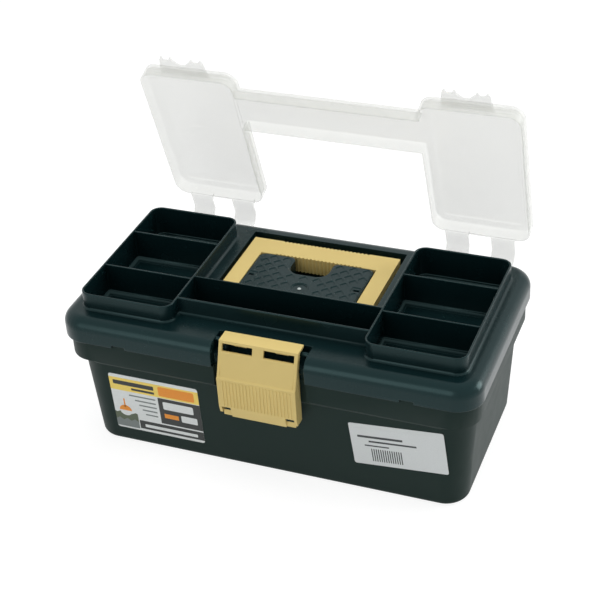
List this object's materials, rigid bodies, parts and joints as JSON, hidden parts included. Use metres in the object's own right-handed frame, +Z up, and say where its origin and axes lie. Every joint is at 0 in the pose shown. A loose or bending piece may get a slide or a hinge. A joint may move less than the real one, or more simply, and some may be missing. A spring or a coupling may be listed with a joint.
{
  "type": "fishing tackle box",
  "caption": "Small plastic tackle box: drafted tub, lid with two three-cell trays and a trough, hinged clear tray cover, fold-flat handle and front latch.",
  "frame": {"origin": "middle of the tub's underside", "axes": "+X along the box to its right end, -Y to the front with the latch, +Z up"},
  "size_m": [0.3216, 0.211, 0.2641],
  "materials": {
    "tub": "dark grey-green moulded polypropylene, fine satin grain",
    "lid": "dark grey-green moulded polypropylene, satin",
    "clear_cover": "clear moulded polypropylene, slightly cloudy",
    "handle": "beige moulded polypropylene, satin",
    "latch": "beige moulded polypropylene, satin"
  },
  "bodies": {
    "tub": {"tub": "tub"},
    "lid": {"lid": "lid"},
    "clear_cover": {"clear_cover": "clear_cover"},
    "carrying_handle": {"carrying_handle": "handle"},
    "front_latch": {"front_latch": "latch"}
  },
  "joints": [
    {"name": "lid_hinge", "type": "hinge", "parent": "tub", "child": "lid", "pos_m": [0, 0.087, 0.0885], "axis": [-1, 0, 0], "range_deg": [0, 95]},
    {"name": "cover_hinge", "type": "hinge", "parent": "lid", "child": "clear_cover", "pos_m": [0, 0.087, 0.0885], "axis": [-1, 0, 0], "range_deg": [-71, 0]},
    {"name": "handle_hinge", "type": "hinge", "parent": "lid", "child": "carrying_handle", "pos_m": [0, 0.012, 0.11], "axis": [1, 0, 0], "range_deg": [0, 90]},
    {"name": "latch_hinge", "type": "hinge", "parent": "lid", "child": "front_latch", "pos_m": [0, -0.071, 0.1145], "axis": [-1, 0, 0], "range_deg": [0, 100]}
  ]
}
